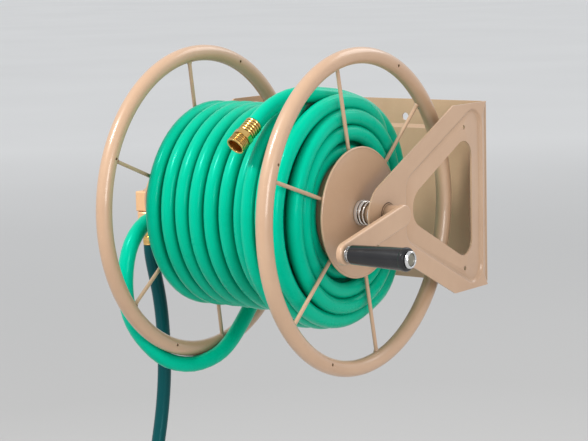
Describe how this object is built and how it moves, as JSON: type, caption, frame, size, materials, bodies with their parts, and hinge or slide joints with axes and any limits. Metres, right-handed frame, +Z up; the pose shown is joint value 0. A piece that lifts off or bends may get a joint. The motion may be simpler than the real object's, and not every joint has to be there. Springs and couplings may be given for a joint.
{
  "type": "garden hose reel",
  "caption": "Wall-mounted garden hose reel: pressed steel bracket, tubular rimmed reel on a water-carrying axle, crank with spinning grip, wound hose and hanging leader hose.",
  "frame": {"origin": "on the wall, at the middle of the wall plate's back", "axes": "+Z up, +Y into the wall, +X along the reel's axle towards the crank"},
  "size_m": [0.5589, 0.5064, 0.8194],
  "materials": {
    "painted_steel": "satin powder coat, tan",
    "nylon": "matte",
    "brass": "machined",
    "spring_steel": "drawn and plated",
    "chrome_fastener": "polished",
    "grip_plastic": "glossy",
    "green_hose": "smooth, soft gloss",
    "leader_rubber": "smooth, soft gloss"
  },
  "bodies": {
    "bracket": {"wall_plate": "painted_steel", "side_arm_right": "painted_steel", "side_arm_left": "painted_steel", "bearing_bush_right": "nylon", "bearing_bush_left": "nylon", "inlet_swivel": "brass", "leader_swivel_nut": "brass", "leader_ferrule": "brass", "leader_hose": "leader_rubber", "leader_coil": "leader_rubber", "leader_hose_tail": "leader_rubber", "leader_end_coupling": "brass"},
    "reel": {"rim_right": "painted_steel", "rim_left": "painted_steel", "hub_disc_right": "painted_steel", "hub_disc_left": "painted_steel", "spoke_right_1": "painted_steel", "spoke_right_2": "painted_steel", "spoke_right_3": "painted_steel", "spoke_right_4": "painted_steel", "spoke_right_5": "painted_steel", "spoke_right_6": "painted_steel", "spoke_left_1": "painted_steel", "spoke_left_2": "painted_steel", "spoke_left_3": "painted_steel", "spoke_left_4": "painted_steel", "spoke_left_5": "painted_steel", "spoke_left_6": "painted_steel", "drum": "painted_steel", "axle_pipe": "painted_steel", "axle_outlet_stub": "brass", "hose_inlet_coupling": "brass", "spring_collar": "spring_steel", "axle_spring": "spring_steel", "crank_arm": "painted_steel", "grip_washer": "chrome_fastener", "grip_bolt": "chrome_fastener", "grip_nut": "chrome_fastener", "hose_loop": "green_hose", "hose_pack": "green_hose", "hose_free_end": "green_hose", "hose_end_fitting": "brass"},
    "grip": {"crank_grip": "grip_plastic"}
  },
  "joints": [
    {"name": "reel_spin", "type": "hinge", "parent": "bracket", "child": "reel", "pos_m": [0, -0.256, 0], "axis": [1, 0, 0], "continuous": true},
    {"name": "grip_spin", "type": "hinge", "parent": "reel", "child": "grip", "pos_m": [0.27, -0.389, -0.0325], "axis": [1, 0, 0], "continuous": true}
  ]
}
